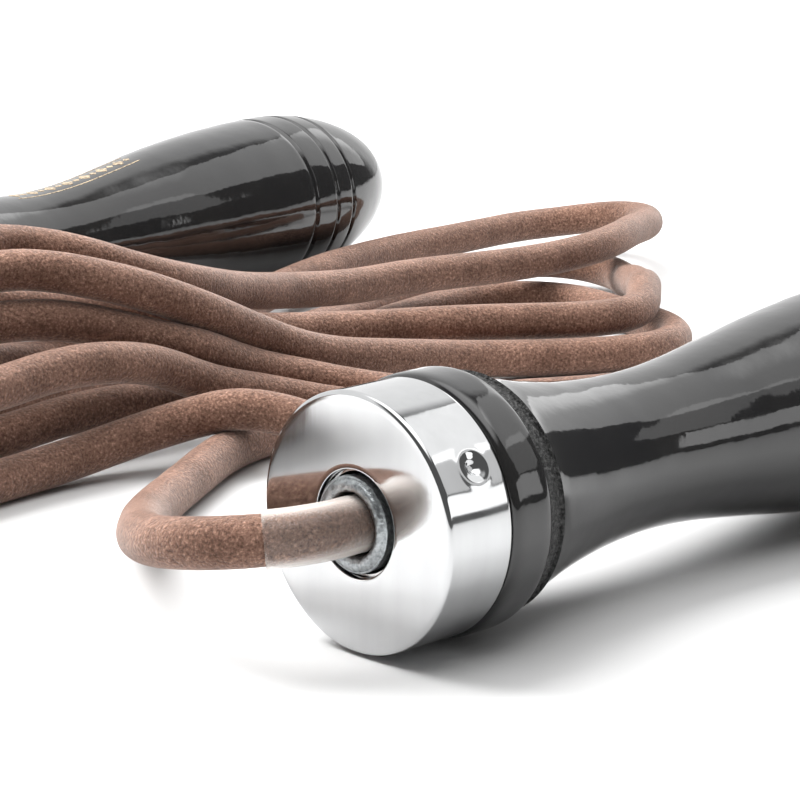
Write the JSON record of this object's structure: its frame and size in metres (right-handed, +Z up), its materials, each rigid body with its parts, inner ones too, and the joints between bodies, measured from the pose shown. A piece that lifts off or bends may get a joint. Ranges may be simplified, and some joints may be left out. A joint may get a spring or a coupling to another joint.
{
  "type": "jump rope",
  "caption": "Skipping rope of round leather with turned wooden handles that spin on ball bearings, laid down as a folded hank between its handles.",
  "frame": {"origin": "on the floor, under the middle of the box round both handles", "axes": "+X along the front handle from its cap to its butt, +Y from the front handle towards the rear one, +Z up"},
  "size_m": [0.3005, 0.2158, 0.0352],
  "materials": {
    "lacquered_wood": "black gloss lacquer",
    "chrome_cap": "polished",
    "bearing_steel": "bright",
    "zinc_plate": "dull zinc plate",
    "clear_sleeve": "clear",
    "brown_leather": "matt, fibrous"
  },
  "bodies": {
    "rope": {"rope_front_lead": "brown_leather", "rope_hank": "brown_leather", "rope_rear_lead": "brown_leather", "front_bearing_cone": "zinc_plate", "front_stop_washer": "zinc_plate", "front_rope_stop": "bearing_steel", "front_clear_sleeve": "clear_sleeve", "rear_bearing_cone": "zinc_plate", "rear_stop_washer": "zinc_plate", "rear_rope_stop": "bearing_steel", "rear_clear_sleeve": "clear_sleeve"},
    "front_handle": {"front_grip": "lacquered_wood", "front_cap": "chrome_cap", "front_bearing_cup": "bearing_steel"},
    "front_balls": {"front_bearing_ball_01": "bearing_steel", "front_bearing_ball_02": "bearing_steel", "front_bearing_ball_03": "bearing_steel", "front_bearing_ball_04": "bearing_steel", "front_bearing_ball_05": "bearing_steel", "front_bearing_ball_06": "bearing_steel", "front_bearing_ball_07": "bearing_steel", "front_bearing_ball_08": "bearing_steel", "front_bearing_ball_09": "bearing_steel", "front_bearing_ball_10": "bearing_steel"},
    "rear_handle": {"rear_grip": "lacquered_wood", "rear_cap": "chrome_cap", "rear_bearing_cup": "bearing_steel"},
    "rear_balls": {"rear_bearing_ball_01": "bearing_steel", "rear_bearing_ball_02": "bearing_steel", "rear_bearing_ball_03": "bearing_steel", "rear_bearing_ball_04": "bearing_steel", "rear_bearing_ball_05": "bearing_steel", "rear_bearing_ball_06": "bearing_steel", "rear_bearing_ball_07": "bearing_steel", "rear_bearing_ball_08": "bearing_steel", "rear_bearing_ball_09": "bearing_steel", "rear_bearing_ball_10": "bearing_steel"}
  },
  "joints": [
    {"name": "front_handle_spin", "type": "hinge", "parent": "rope", "child": "front_handle", "pos_m": [-0.09, -0.0914, 0.0164], "axis": [1, 0, 0], "continuous": true},
    {"name": "front_balls_orbit", "type": "hinge", "parent": "rope", "child": "front_balls", "pos_m": [-0.09, -0.0914, 0.0164], "axis": [1, 0, 0], "continuous": true},
    {"name": "rear_handle_spin", "type": "hinge", "parent": "rope", "child": "rear_handle", "pos_m": [-0.0568, 0.0687, 0.0164], "axis": [0.9816, 0.1908, 0], "continuous": true},
    {"name": "rear_balls_orbit", "type": "hinge", "parent": "rope", "child": "rear_balls", "pos_m": [-0.0568, 0.0687, 0.0164], "axis": [0.9816, 0.1908, 0], "continuous": true}
  ],
  "couplings": [
    {"joint": "front_balls_orbit", "follows": "front_handle_spin", "ratio": 0.62406},
    {"joint": "rear_balls_orbit", "follows": "rear_handle_spin", "ratio": 0.62406}
  ]
}
